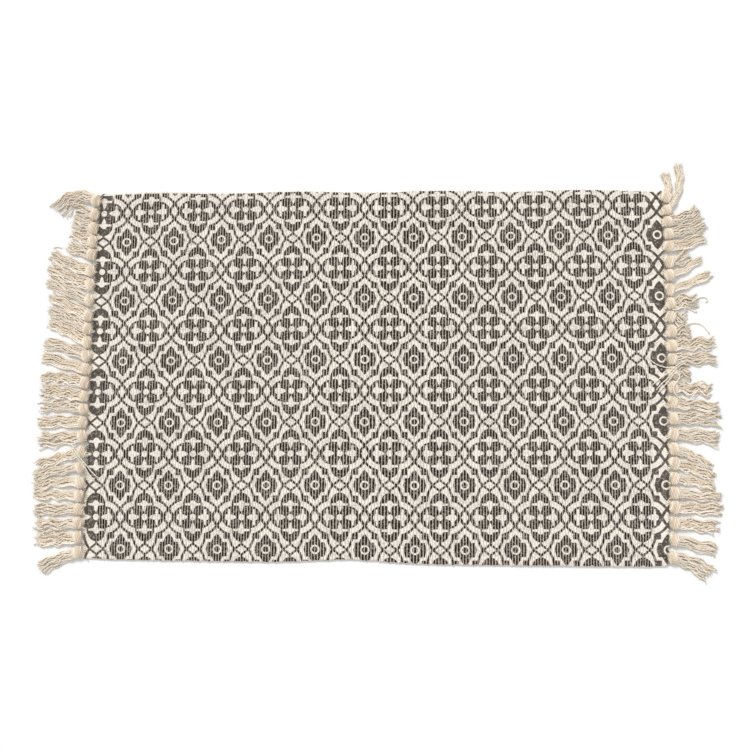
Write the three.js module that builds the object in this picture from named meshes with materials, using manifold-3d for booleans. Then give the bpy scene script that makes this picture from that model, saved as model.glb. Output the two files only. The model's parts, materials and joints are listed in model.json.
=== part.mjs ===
// Flat-woven cotton rug: one ribbed cloth with a plain heading at each short end, and the warp
// ends gathered into knotted tassels. Millimetres, +Z up. The origin is the centre of the
// cloth's underside, +X runs along the rug's length and +Y across it.

import * as THREE from "three";
import { mergeVertices } from "three/addons/utils/BufferGeometryUtils.js";
import Module from "manifold-3d";

const wasm = await Module();
wasm.setup();

// Cloth
const CLOTH_LENGTH = 903;
const CLOTH_WIDTH = 590;
const CREST_THICKNESS = 4.0;
const GROOVE_THICKNESS = 2.9;
const HEADING_THICKNESS = 3.2;
const LEFT_HEADING = 16;
const RIGHT_HEADING = 19;

// Weft ribs: packed tighter at the ends of the rug than near its middle
const END_RIB_PITCH = 4.2;
const MIDDLE_RIB_PITCH = 5.08;
const WIDE_RIB_CENTRE = 18;
const WIDE_RIB_REACH = 130;
const CREST_START = 0.28;
const CREST_END = 0.72;

// Outline: how the edges of the lying cloth stray from straight lines
const FAR_EDGE = { taper: 2.0, wave: 1.3, period: 225, phase: 99 };
const NEAR_EDGE = { taper: 1.2, dent: 5.4, centre: -39, reach: 75 };
const CORNER_EASE = { leftFar: 5, leftNear: 4, rightFar: 1, rightNear: 6 };
const CORNER_POWER = 8;
const LONG_EDGE_STEPS = 48;
const SHORT_EDGE_STEPS = 26;

// Tassels: a knot with five locks of yarn, lying on the floor
const KNOT = { halfLength: 8.8, halfWidth: 10.6, height: 8.5, sides: 6 };
const KNOT_PROFILE = [
  { radius: 0, height: 0 },
  { radius: 0.8, height: 0 },
  { radius: 1.0, height: 0.36 },
  { radius: 0.62, height: 0.88 },
  { radius: 0, height: 1 },
];
const SEAT_GAP = 0.3;
const LOCKS = 5;
const LONG_LOCK = { reach: 50, steps: 3 };
const SHORT_LOCK_STEPS = 2;
const LOCK_FILL = 0.8;
const LOCK_HEIGHT = 3.2;
const TIP_TAPER = 0.7;
const LOCK_SHORTFALL = [0.05, 0.0, 0.09, 0.02, 0.07];

// across: place of the knot along the edge. reach: how far the tip lies beyond the knot.
// drift: how far the tip lies to the far side of the knot. bow: sideways bulge at mid length.
// root, fan: width of the bundle at the knot and at its tip.
const LEFT_FRINGE = [
  { across: 280, reach: 63, drift: -17, bow: 15, root: 13, fan: 32 },
  { across: 257, reach: 33, drift: 5, bow: 3, root: 17, fan: 17 },
  { across: 234, reach: 35, drift: 11, bow: 1, root: 17, fan: 17 },
  { across: 212, reach: 36, drift: 15, bow: 0, root: 17, fan: 18 },
  { across: 190, reach: 40, drift: 16, bow: -1, root: 17, fan: 18 },
  { across: 164, reach: 67, drift: 26, bow: -2, root: 17, fan: 17 },
  { across: 141, reach: 68, drift: 29, bow: -2, root: 17, fan: 18 },
  { across: 115, reach: 69, drift: 34, bow: -1, root: 17, fan: 18 },
  { across: 90, reach: 65, drift: 33, bow: 0, root: 17, fan: 18 },
  { across: 69, reach: 64, drift: 32, bow: 0, root: 16, fan: 17 },
  { across: 47, reach: 64, drift: 31, bow: 2, root: 15, fan: 15 },
  { across: 25, reach: 69, drift: 22, bow: 2, root: 16, fan: 18 },
  { across: 4, reach: 70, drift: 19, bow: 0, root: 15, fan: 16 },
  { across: -18, reach: 70, drift: 5, bow: 5, root: 16, fan: 19 },
  { across: -40, reach: 71, drift: 7, bow: 2, root: 16, fan: 18 },
  { across: -60, reach: 71, drift: 1, bow: 4, root: 15, fan: 16 },
  { across: -81, reach: 71, drift: -3, bow: 2, root: 16, fan: 19 },
  { across: -103, reach: 70, drift: -8, bow: 0, root: 15, fan: 24 },
  { across: -128, reach: 71, drift: -23, bow: 1, root: 12, fan: 15 },
  { across: -152, reach: 73, drift: -16, bow: 2, root: 12, fan: 16 },
  { across: -176, reach: 72, drift: -8, bow: 4, root: 12, fan: 14 },
  { across: -197, reach: 72, drift: 0, bow: 1, root: 12, fan: 12 },
  { across: -218, reach: 71, drift: -1, bow: 0, root: 14, fan: 18 },
  { across: -239, reach: 70, drift: -1, bow: -2, root: 14, fan: 18 },
  { across: -261, reach: 68, drift: -3, bow: -3, root: 15, fan: 22 },
  { across: -284, reach: 61, drift: -25, bow: 1, root: 12, fan: 22 },
];
const RIGHT_FRINGE = [
  { across: 285, reach: -2, drift: 40, bow: -5, root: 7, fan: 12 },
  { across: 264, reach: 20, drift: 74, bow: -10, root: 7, fan: 12 },
  { across: 245, reach: 49, drift: 18, bow: -2, root: 15, fan: 19 },
  { across: 225, reach: 59, drift: 17, bow: -1, root: 15, fan: 19 },
  { across: 205, reach: 56, drift: 16, bow: -3, root: 15, fan: 18 },
  { across: 180, reach: 32, drift: 12, bow: 0, root: 15, fan: 18 },
  { across: 158, reach: 49, drift: 28, bow: -3, root: 8, fan: 8 },
  { across: 135, reach: 63, drift: 27, bow: -2, root: 9, fan: 12 },
  { across: 113, reach: 42, drift: 7, bow: 0, root: 17, fan: 22 },
  { across: 92, reach: 23, drift: -7, bow: 0, root: 14, fan: 15 },
  { across: 69, reach: 30, drift: -1, bow: 0, root: 15, fan: 16 },
  { across: 46, reach: 67, drift: 4, bow: 1, root: 16, fan: 20 },
  { across: 25, reach: 67, drift: 0, bow: 1, root: 15, fan: 18 },
  { across: 4, reach: 28, drift: 0, bow: 0, root: 16, fan: 19 },
  { across: -19, reach: 59, drift: -4, bow: 0, root: 16, fan: 19 },
  { across: -43, reach: 70, drift: -8, bow: 0, root: 15, fan: 14 },
  { across: -68, reach: 72, drift: -1, bow: 1, root: 16, fan: 20 },
  { across: -92, reach: 67, drift: -6, bow: 1, root: 16, fan: 20 },
  { across: -115, reach: 56, drift: -29, bow: 3, root: 13, fan: 13 },
  { across: -137, reach: 59, drift: -22, bow: 2, root: 13, fan: 13 },
  { across: -160, reach: 60, drift: -14, bow: 2, root: 13, fan: 13 },
  { across: -182, reach: 69, drift: -6, bow: -1, root: 12, fan: 14 },
  { across: -204, reach: 71, drift: -3, bow: 0, root: 14, fan: 18 },
  { across: -228, reach: 66, drift: -7, bow: 1, root: 14, fan: 19 },
  { across: -253, reach: 62, drift: -15, bow: 0, root: 14, fan: 17 },
  { across: -280, reach: 55, drift: -27, bow: 4, root: 14, fan: 28 },
];

const halfLength = CLOTH_LENGTH / 2;
const halfWidth = CLOTH_WIDTH / 2;

const printedCotton = new THREE.MeshStandardMaterial({ color: 0xa39a8e, roughness: 0.95, metalness: 0 });
const naturalYarn = new THREE.MeshStandardMaterial({ color: 0xd8c8ae, roughness: 0.95, metalness: 0 });

// Makes a solid of a closed three.js geometry, whose shared corners are merged by position alone.
function solidOf(geometry) {
  const bare = geometry.index ? geometry.toNonIndexed() : geometry.clone();
  bare.deleteAttribute("normal");
  bare.deleteAttribute("uv");
  const merged = mergeVertices(bare, 1e-4);
  return new wasm.Manifold(new wasm.Mesh({
    numProp: 3,
    vertProperties: new Float32Array(merged.attributes.position.array),
    triVerts: new Uint32Array(merged.index.array),
  }));
}

function geometryOf(solid) {
  const mesh = solid.getMesh();
  const geometry = new THREE.BufferGeometry();
  geometry.setAttribute("position", new THREE.BufferAttribute(new Float32Array(mesh.vertProperties), 3));
  geometry.setIndex(new THREE.BufferAttribute(new Uint32Array(mesh.triVerts), 1));
  geometry.computeVertexNormals();
  return geometry;
}

// How many ribs lie between the rug's middle and the place x, with a fraction for part of one.
function ribCountAt(x) {
  const slack = 1 / END_RIB_PITCH - 1 / MIDDLE_RIB_PITCH;
  const eased = WIDE_RIB_REACH * Math.tanh((x - WIDE_RIB_CENTRE) / WIDE_RIB_REACH);
  return x / END_RIB_PITCH - slack * eased;
}

// The place x where the rib count reaches a value: the count only rises, so the span is halved.
function placeOfRib(count) {
  let low = -CLOTH_LENGTH;
  let high = CLOTH_LENGTH;
  for (let halving = 0; halving < 40; halving += 1) {
    const middle = (low + high) / 2;
    if (ribCountAt(middle) < count) {
      low = middle;
    } else {
      high = middle;
    }
  }
  return (low + high) / 2;
}

// Lengthwise section of the cloth: a flat underside, plain headings and a crest for each rib.
function ribbedSection() {
  const overrun = halfLength + 20;
  const firstRib = Math.ceil(ribCountAt(-halfLength + LEFT_HEADING));
  const lastRib = Math.floor(ribCountAt(halfLength - RIGHT_HEADING));
  const section = new THREE.Shape();
  section.moveTo(overrun, 0);
  section.lineTo(overrun, HEADING_THICKNESS);
  section.lineTo(placeOfRib(lastRib) + END_RIB_PITCH / 2, HEADING_THICKNESS);
  for (let rib = lastRib; rib > firstRib; rib -= 1) {
    section.lineTo(placeOfRib(rib), GROOVE_THICKNESS);
    section.lineTo(placeOfRib(rib - 1 + CREST_END), CREST_THICKNESS);
    section.lineTo(placeOfRib(rib - 1 + CREST_START), CREST_THICKNESS);
  }
  section.lineTo(placeOfRib(firstRib), GROOVE_THICKNESS);
  section.lineTo(placeOfRib(firstRib) - END_RIB_PITCH / 2, HEADING_THICKNESS);
  section.lineTo(-overrun, HEADING_THICKNESS);
  section.lineTo(-overrun, 0);
  section.closePath();
  return section;
}

function farEdge(x) {
  const { taper, wave, period, phase } = FAR_EDGE;
  return halfWidth + taper * x / halfLength + wave * Math.cos(2 * Math.PI * (x - phase) / period);
}

function nearEdge(x) {
  const { taper, dent, centre, reach } = NEAR_EDGE;
  return -halfWidth + taper * (x / halfLength) ** 2 + dent * Math.exp(-(((x - centre) / reach) ** 2));
}

// Distance of a short edge from the middle of the rug, eased inwards at its two corners.
function shortEdge(side, y) {
  const corner = (side < 0 ? "left" : "right") + (y > 0 ? "Far" : "Near");
  return halfLength - CORNER_EASE[corner] * Math.abs(y / halfWidth) ** CORNER_POWER;
}

function clothOutline() {
  const outline = [];
  const walk = (steps, place) => {
    for (let step = 0; step < steps; step += 1) {
      outline.push(place(step / steps));
    }
  };
  const leftNear = new THREE.Vector2(-shortEdge(-1, -halfWidth), nearEdge(-halfLength));
  const rightNear = new THREE.Vector2(shortEdge(1, -halfWidth), nearEdge(halfLength));
  const rightFar = new THREE.Vector2(shortEdge(1, halfWidth), farEdge(halfLength));
  const leftFar = new THREE.Vector2(-shortEdge(-1, halfWidth), farEdge(-halfLength));
  walk(LONG_EDGE_STEPS, (part) => {
    const x = THREE.MathUtils.lerp(leftNear.x, rightNear.x, part);
    return new THREE.Vector2(x, nearEdge(x));
  });
  walk(SHORT_EDGE_STEPS, (part) => {
    const y = THREE.MathUtils.lerp(rightNear.y, rightFar.y, part);
    return new THREE.Vector2(shortEdge(1, y), y);
  });
  walk(LONG_EDGE_STEPS, (part) => {
    const x = THREE.MathUtils.lerp(rightFar.x, leftFar.x, part);
    return new THREE.Vector2(x, farEdge(x));
  });
  walk(SHORT_EDGE_STEPS, (part) => {
    const y = THREE.MathUtils.lerp(leftFar.y, leftNear.y, part);
    return new THREE.Vector2(-shortEdge(-1, y), y);
  });
  return new THREE.Shape(outline);
}

// The cloth: the ribbed section drawn out across the rug, trimmed to the uneven outline.
function makeCloth() {
  const overrun = CLOTH_WIDTH + 40;
  const slab = new THREE.ExtrudeGeometry(ribbedSection(), { depth: overrun, bevelEnabled: false });
  slab.rotateX(Math.PI / 2);
  slab.translate(0, overrun / 2, 0);
  const trim = new THREE.ExtrudeGeometry(clothOutline(), { depth: 3 * CREST_THICKNESS, bevelEnabled: false });
  trim.translate(0, 0, -CREST_THICKNESS);
  const cloth = new THREE.Mesh(geometryOf(solidOf(slab).intersect(solidOf(trim))), printedCotton);
  cloth.name = "cloth";
  return cloth;
}

// A knot: a low round lump with a flat seat, a little wider along the edge than across it.
function knotGeometry() {
  const profile = KNOT_PROFILE.map((row) => new THREE.Vector2(row.radius, row.height));
  const knot = new THREE.LatheGeometry(profile, KNOT.sides, Math.PI / 2);
  knot.rotateX(Math.PI / 2);
  knot.scale(KNOT.halfLength, KNOT.halfWidth, KNOT.height);
  return knot;
}

// One lock of yarn: a strip with a flat underside on the floor and a ridge along its top.
function lockGeometry(centre, steps, aside, fill, end) {
  const corners = [];
  for (let step = 0; step <= steps; step += 1) {
    const part = end * step / steps;
    const place = centre.getPoint(part);
    const along = centre.getTangent(part);
    const across = new THREE.Vector2(-along.y, along.x);
    const taper = step === steps ? TIP_TAPER : 1;
    const half = fill(part) * taper / 2;
    const middle = place.clone().addScaledVector(across, aside(part));
    corners.push(middle.x + across.x * half, middle.y + across.y * half, 0);
    corners.push(middle.x - across.x * half, middle.y - across.y * half, 0);
    corners.push(middle.x, middle.y, LOCK_HEIGHT * taper);
  }
  const faces = [0, 1, 2];
  for (let step = 0; step < steps; step += 1) {
    for (let side = 0; side < 3; side += 1) {
      const a = 3 * step + side;
      const b = 3 * step + (side + 1) % 3;
      faces.push(a, a + 3, b, b, a + 3, b + 3);
    }
  }
  const last = 3 * steps;
  faces.push(last, last + 2, last + 1);
  const lock = new THREE.BufferGeometry();
  lock.setAttribute("position", new THREE.BufferAttribute(new Float32Array(corners), 3));
  lock.setIndex(faces);
  return lock;
}

// A tassel in its knot's own frame: the knot, and five locks that fan out along a bowed line.
function tasselSolid(side, lay, order) {
  const tip = new THREE.Vector2(side * lay.reach, lay.drift);
  const sideways = new THREE.Vector2(-tip.y, tip.x).normalize().multiplyScalar(side * 2 * lay.bow);
  const bend = tip.clone().multiplyScalar(0.5).add(sideways);
  const centre = new THREE.QuadraticBezierCurve(new THREE.Vector2(0, 0), bend, tip);
  const widthAt = (part) => THREE.MathUtils.lerp(lay.root, lay.fan, part) / LOCKS;
  const steps = tip.length() > LONG_LOCK.reach ? LONG_LOCK.steps : SHORT_LOCK_STEPS;
  let tassel = solidOf(knotGeometry());
  for (let lock = 0; lock < LOCKS; lock += 1) {
    const place = lock - (LOCKS - 1) / 2;
    const end = 1 - LOCK_SHORTFALL[(lock + order) % LOCKS];
    const aside = (part) => place * widthAt(part);
    const fill = (part) => LOCK_FILL * widthAt(part);
    const strip = lockGeometry(centre, steps, aside, fill, end);
    tassel = tassel.add(solidOf(strip));
  }
  return tassel;
}

function makeTassel(side, lay, order) {
  const tassel = new THREE.Mesh(geometryOf(tasselSolid(side, lay, order)), naturalYarn);
  tassel.position.set(side * (shortEdge(side, lay.across) + SEAT_GAP + KNOT.halfLength), lay.across, 0);
  tassel.name = `tassel_${side < 0 ? "left" : "right"}_${String(order + 1).padStart(2, "0")}`;
  return tassel;
}

const rug = new THREE.Group();
rug.add(makeCloth());
LEFT_FRINGE.forEach((lay, order) => rug.add(makeTassel(-1, lay, order)));
RIGHT_FRINGE.forEach((lay, order) => rug.add(makeTassel(1, lay, order)));

export default rug;
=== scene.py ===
"""A flat-woven cotton rug with a lattice print and knotted fringe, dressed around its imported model."""

import json
import math

import bpy
import numpy as np
from bpy.props import FloatProperty, FloatVectorProperty, IntProperty, PointerProperty
from bpy.types import Operator, Panel, PropertyGroup
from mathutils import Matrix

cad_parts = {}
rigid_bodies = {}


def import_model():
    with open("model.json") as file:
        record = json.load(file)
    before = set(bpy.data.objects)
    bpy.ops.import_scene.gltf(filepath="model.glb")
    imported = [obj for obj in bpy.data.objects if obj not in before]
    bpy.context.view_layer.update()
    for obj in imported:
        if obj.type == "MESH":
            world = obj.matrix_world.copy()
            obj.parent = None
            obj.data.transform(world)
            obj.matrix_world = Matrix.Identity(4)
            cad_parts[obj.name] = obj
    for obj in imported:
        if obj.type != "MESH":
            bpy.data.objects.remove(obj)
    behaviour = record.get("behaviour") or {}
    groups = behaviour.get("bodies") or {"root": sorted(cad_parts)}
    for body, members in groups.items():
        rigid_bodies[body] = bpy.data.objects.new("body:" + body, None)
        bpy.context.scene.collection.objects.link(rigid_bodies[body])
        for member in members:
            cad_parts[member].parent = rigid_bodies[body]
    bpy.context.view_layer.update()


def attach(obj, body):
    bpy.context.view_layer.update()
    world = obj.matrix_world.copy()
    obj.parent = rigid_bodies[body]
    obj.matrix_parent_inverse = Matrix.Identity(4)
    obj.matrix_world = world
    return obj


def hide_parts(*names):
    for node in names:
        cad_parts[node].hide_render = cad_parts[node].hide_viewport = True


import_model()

bl_info = {
    "name": "Printed cotton rug",
    "version": (1, 0, 0),
    "blender": (4, 5, 0),
    "location": "View3D > Sidebar > Rug",
    "description": "Weaves the printed rug, ties its fringe and sets the studio around it",
    "category": "Object",
}

MM = 0.001
SEED = 20

# Outline of the lying cloth, in millimetres, as in the part's own solids
CLOTH_LENGTH = 903
CLOTH_WIDTH = 590
HALF_LENGTH = CLOTH_LENGTH / 2
HALF_WIDTH = CLOTH_WIDTH / 2
LEFT_HEADING = 16
RIGHT_HEADING = 19
HEADING_THICKNESS = 3.2
FAR_EDGE = {"taper": 2.0, "wave": 1.3, "period": 225, "phase": 99}
NEAR_EDGE = {"taper": 1.2, "dent": 5.4, "centre": -39, "reach": 75}
CORNER_EASE = {("left", "far"): 5, ("left", "near"): 4, ("right", "far"): 1, ("right", "near"): 6}
CORNER_POWER = 8

# Weft ribs: packed tighter at the ends of the rug than near its middle
END_RIB_PITCH = 4.2
MIDDLE_RIB_PITCH = 5.08
WIDE_RIB_CENTRE = 18
WIDE_RIB_REACH = 130

# The knots of the fringe: sizes in millimetres, and how many wraps and warp ends each has
KNOT_HALF_LENGTH = 8.8
KNOT_WRAPS = 7
WARP_ENDS = 8
WIDEST_KNOT = 22.0
KNOT_HEIGHT = 8.4
SEAT_GAP = 0.3

# How much of the warp ends shows between the cloth and the knots: at the middle of a short edge,
# how that grows to the far corner, and with the square of the way there
ROOT_SHOWN = {"left": (1.7, -1.9, 0.0), "right": (2.2, 0.0, -2.2)}

# One row for each tassel, from the far corner to the near one. across: place of the knot along
# the edge. reach: how far the tip lies beyond the knot. drift: how far the tip lies to the far
# side. bow: sideways bulge at mid length. root, fan: width of the bundle at the knot and at its
# tip. curl: how far the yarns wander.
FRINGE_COLUMNS = ("across", "reach", "drift", "bow", "root", "fan", "curl")
LEFT_FRINGE = (
    (280, 63, -17, 15, 13, 32, 1.0),
    (257, 33, 5, 3, 17, 17, 1.4),
    (234, 35, 11, 1, 17, 17, 1.2),
    (212, 36, 15, 0, 17, 18, 1.2),
    (190, 40, 16, -1, 17, 18, 1.2),
    (164, 67, 26, -2, 17, 17, 0.9),
    (141, 68, 29, -2, 17, 18, 0.9),
    (115, 69, 34, -1, 17, 18, 0.9),
    (90, 65, 33, 0, 17, 18, 1.0),
    (69, 64, 32, 0, 16, 17, 1.1),
    (47, 64, 31, 2, 15, 15, 0.9),
    (25, 69, 22, 2, 16, 18, 1.0),
    (4, 70, 19, 0, 15, 16, 0.9),
    (-18, 70, 5, 5, 16, 19, 1.0),
    (-40, 71, 7, 2, 16, 18, 1.2),
    (-60, 71, 1, 4, 15, 16, 1.0),
    (-81, 71, -3, 2, 16, 19, 0.9),
    (-103, 70, -8, 0, 15, 24, 1.3),
    (-128, 71, -23, 1, 12, 15, 1.0),
    (-152, 73, -16, 2, 12, 16, 1.1),
    (-176, 72, -8, 4, 12, 14, 1.2),
    (-197, 72, 0, 1, 12, 12, 1.2),
    (-218, 71, -1, 0, 14, 18, 1.3),
    (-239, 70, -1, -2, 14, 18, 1.4),
    (-261, 68, -3, -3, 15, 22, 1.3),
    (-284, 61, -25, 1, 12, 22, 0.8),
)
RIGHT_FRINGE = (
    (285, -2, 40, -5, 7, 12, 0.7),
    (264, 20, 74, -10, 7, 12, 0.7),
    (245, 49, 18, -2, 15, 19, 0.8),
    (225, 59, 17, -1, 15, 19, 0.8),
    (205, 56, 16, -3, 15, 18, 0.8),
    (180, 32, 12, 0, 15, 18, 2.2),
    (158, 49, 28, -3, 8, 8, 0.7),
    (135, 63, 27, -2, 9, 12, 0.6),
    (113, 42, 7, 0, 17, 22, 2.2),
    (92, 23, -7, 0, 14, 15, 2.4),
    (69, 30, -1, 0, 15, 16, 2.2),
    (46, 67, 4, 1, 16, 20, 1.6),
    (25, 67, 0, 1, 15, 18, 1.5),
    (4, 28, 0, 0, 16, 19, 2.6),
    (-19, 59, -4, 0, 16, 19, 2.2),
    (-43, 70, -8, 0, 15, 14, 1.2),
    (-68, 72, -1, 1, 16, 20, 1.1),
    (-92, 67, -6, 1, 16, 20, 1.2),
    (-115, 56, -29, 3, 13, 13, 1.0),
    (-137, 59, -22, 2, 13, 13, 1.1),
    (-160, 60, -14, 2, 13, 13, 1.2),
    (-182, 69, -6, -1, 12, 14, 1.0),
    (-204, 71, -3, 0, 14, 18, 1.0),
    (-228, 66, -7, 1, 14, 19, 1.1),
    (-253, 62, -15, 0, 14, 17, 1.0),
    (-280, 55, -27, 4, 14, 28, 1.1),
)

# Single yarns that have strayed from the fringe: each is a list of places on the way, with heights
STRAY_YARNS = {
    "left": (
        ((-479, -115, 5.8), (-473, -125, 8.6), (-462, -139, 9.6), (-453, -148, 8.1), (-448, -156, 5),
         (-442, -162, 5), (-434, -169, 5)),
        ((-480, -120, 5.8), (-474, -130, 8.6), (-464, -142, 9.6), (-455, -151, 8.1), (-451, -161, 5),
         (-444, -168, 5), (-439, -175, 5)),
        ((-526, 202, 1.2), (-520, 206, 1.2), (-512, 202, 1.2)),
    ),
    "right": (
        ((483, 22, 5.8), (475, 20, 5.8), (469, 15, 8.6), (462, 9, 9.6), (456, 3, 7.1), (449, -1, 5),
         (441, -7, 5), (435, -12, 5), (430, -17, 5)),
        ((483, 19, 5.8), (475, 16, 5.8), (468, 11, 8.6), (462, 4, 9.6), (457, -3, 7.6), (452, -8, 5),
         (446, -13, 5), (441, -18, 5), (437, -24, 5)),
        ((440, -27, 5), (446, -21, 5), (451, -15, 6), (456, -9, 7.6), (460, -3, 9.6), (463, 2, 9.6),
         (467, 4, 9.6), (471, 2, 9.6), (474, -3, 9.6), (470, -8, 9.6), (465, -14, 9.6),
         (462, -19, 9.6), (462, -27, 9.6), (468, -34, 8.6), (475, -40, 5.8), (484, -42, 5.8),
         (491, -36, 5.8), (496, -28, 5.8), (502, -23, 5.8)),
        ((426, 27, 5), (430, 22, 5), (434, 19, 5), (440, 15, 5), (447, 13, 5), (454, 11, 6),
         (461, 11, 9.6)),
        ((496, 117, 4.8), (503, 121, 2.2), (509, 124, 1.2), (518, 125, 1.2), (522, 121, 1.2),
         (522, 117, 1.2), (517, 116, 1.2)),
        ((483, 78, 3.8), (489, 80, 2.2), (494, 83, 1.2), (503, 83, 1.2), (510, 81, 1.2),
         (515, 76, 1.2), (522, 66, 1.2)),
        ((494, -47, 5.8), (501, -47, 5.8), (510, -51, 4.8), (524, -54, 4.8), (532, -52, 3.8)),
    ),
}

# The print: one repeat of the lattice, mirrored about both its middles, in millimetres
REPEAT_LENGTH = 77.25
REPEAT_WIDTH = 98.5
PRINT_ORIGIN = (-444.5, 263.0)
PRINT_TURN = math.radians(0.65)

# Places where the cloth pulled while it was printed: centre, reach and shift of the print
PRINT_PULLS = (
    ((-451, 320), (125, 190), (0.8, -4.8)),
    ((-451, -330), (220, 120), (7.2, 0.4)),
    ((190, 60), (130, 170), (1.5, 0.4)),
    ((80, -270), (150, 110), (0.4, -1.0)),
    ((-80, 60), (70, 260), (-0.9, 0.9)),
)

# Shapes of the print in one quarter of the repeat, in millimetres from the middle of the flower.
# An ellipse has its centre and two radii, a box its centre and two half sizes.
TALL_LOBE = ((0.0, 19.0), (15.3, 18.9))
WIDE_LOBE = ((13.9, 0.0), (17.0, 17.0))
FLOWER_EYE = ((0.0, 0.0), (4.7, 4.9))
DART_BULB = ((21.0, 0.0), (4.9, 4.9))
DART_ARMS = ((19.8, 0.0), (2.0, 12.9))
DART_ARM_TAPER = {"start": 6.0, "slope": 0.08}
DART_TONGUE = {"tip": 8.3, "foot": 20.5, "steepness": 0.4}
TALL_DART_BREADTH = 1.4
WIDE_DART_BREADTH = 2.4
MEDALLION = {"half_length": 17.9, "lean": 0.27, "half_width": 11.1}
MEDALLION_POINT = ((-21.2, 0.0), (32.2, 32.2))
MEDALLION_RING = {"centre": (0.0, 0.0), "radius": 5.9, "thickness": 2.6}
ARCH = {"centre": (12.5, -3.0), "radius": 30.0, "thickness": 3.9}
ARCH_START = 19.6
FLANK = {"centre": (-20.5, 24.0), "radius": 40.3, "thickness": 3.9}
FLANK_START = 24.6
KNOB_SQUARE = ((24.2, 29.3), (4.1, 4.2))
KNOB_ROUND = ((24.2, 29.3), (5.1, 5.2))
STEM = ((0.0, 39.5), (1.9, 2.5))

# The small diamonds: half sizes of their outer and inner outlines, in millimetres
TALL_DIAMOND = ((12.1, 16.5), (5.5, 9.8))
WIDE_DIAMOND = ((13.7, 10.8), (8.1, 6.1))

# How the ink takes: the share of it lost in the grooves, in worn patches and on the headings, and
# the share that shows on the underside and that loose yarn takes
GROOVE_RAMP = (0.12, 0.62)
GROOVE_LOSS = 0.9
PATCH_RAMP = (0.5, 0.72)
PATCH_LOSS = 0.3
HEADING_LOSS = 0.09
UNDERSIDE_SHARE = 0.15
YARN_SHARE = 0.9

# How soft the edge of the ink is on the cloth and on yarn, in millimetres
CLOTH_BLEED = 0.45
YARN_BLEED = 0.6

# Width of the selvedge that the print missed, in millimetres: at the far side, and more at its left
FAR_MISS = 0.8
FAR_LEFT_MISS = 1.6

# How much painted shade darkens the open grooves, and how much the tone of the cotton varies
PAINTED_GROOVE_SHADE = 0.32
CLOTH_MOTTLE = 2.0
YARN_MOTTLE = 0.5
LIGHTEST_TONE = 1.08
YARN_TONES = (0.84, 1.10)

# Grain of the cotton for each metre, and the pitch of the weft's floats along a rib in millimetres
LINT_SCALE = 420
BLOTCH_SCALE = 35
FLOAT_PITCH = 2.4


class RugSettings(PropertyGroup):
    """Sizes and colours that a user would change"""

    crest: FloatProperty(
        name="Rib crest", description="Thickness of the cloth at a rib", default=3.9 * MM, unit="LENGTH")
    groove: FloatProperty(
        name="Groove", description="Thickness of the cloth between two ribs", default=2.9 * MM,
        unit="LENGTH")
    yarns: IntProperty(
        name="Yarns", description="Twisted yarns in each tassel", default=15, min=4, max=20)
    yarn_radius: FloatProperty(
        name="Ply radius", description="Radius of each of a yarn's two plies", default=0.76 * MM,
        unit="LENGTH")
    cream: FloatVectorProperty(
        name="Cream", description="Unprinted cotton", subtype="COLOR", size=3,
        default=(0.865, 0.8, 0.715))
    charcoal: FloatVectorProperty(
        name="Charcoal", description="Printed cotton", subtype="COLOR", size=3,
        default=(0.024, 0.011, 0.004))
    yarn: FloatVectorProperty(
        name="Yarn", description="Undyed cotton yarn", subtype="COLOR", size=3, default=(0.93, 0.84, 0.71))
    deep_yarn: FloatVectorProperty(
        name="Deeper yarn", description="The warmest of the yarns", subtype="COLOR", size=3,
        default=(0.83, 0.70, 0.54))
    floor: FloatVectorProperty(
        name="Floor", description="Pale studio floor", subtype="COLOR", size=3, default=(0.93, 0.93, 0.93))


def rib_count(x):
    """How many ribs lie between the middle of the rug and the place x"""
    slack = 1 / END_RIB_PITCH - 1 / MIDDLE_RIB_PITCH
    return x / END_RIB_PITCH - slack * WIDE_RIB_REACH * np.tanh((x - WIDE_RIB_CENTRE) / WIDE_RIB_REACH)


def far_edge(x):
    """Place of the far long edge beside x, a little wavy and wider to the right"""
    bend = FAR_EDGE["wave"] * np.cos(2 * np.pi * (x - FAR_EDGE["phase"]) / FAR_EDGE["period"])
    return HALF_WIDTH + FAR_EDGE["taper"] * x / HALF_LENGTH + bend


def near_edge(x):
    """Place of the near long edge beside x, drawn in at its ends and in one shallow dent"""
    dent = NEAR_EDGE["dent"] * np.exp(-(((x - NEAR_EDGE["centre"]) / NEAR_EDGE["reach"]) ** 2))
    return -HALF_WIDTH + NEAR_EDGE["taper"] * (x / HALF_LENGTH) ** 2 + dent


def short_edge(side, y):
    """Distance of a short edge from the middle of the rug, eased inwards at its corners"""
    name = "left" if side < 0 else "right"
    ease = np.where(np.asarray(y) > 0, CORNER_EASE[name, "far"], CORNER_EASE[name, "near"])
    return HALF_LENGTH - ease * np.abs(np.asarray(y) / HALF_WIDTH) ** CORNER_POWER


def mesh_object(name, places, faces):
    """Makes a mesh object of places in millimetres"""
    mesh = bpy.data.meshes.new(name)
    mesh.from_pydata((np.asarray(places) * MM).tolist(), [], faces)
    mesh.validate()
    mesh.polygons.foreach_set("use_smooth", [True] * len(mesh.polygons))
    piece = bpy.data.objects.new(name, mesh)
    bpy.context.collection.objects.link(piece)
    return piece


def lay_map(piece, name, values):
    """Writes a UV map from one pair of values for each vertex"""
    mesh = piece.data
    layer = mesh.uv_layers.new(name=name)
    corners = np.empty(len(mesh.loops), dtype=np.int32)
    mesh.loops.foreach_get("vertex_index", corners)
    layer.data.foreach_set("uv", np.asarray(values, dtype=np.float32)[corners].ravel())


# Shader maths


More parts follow.
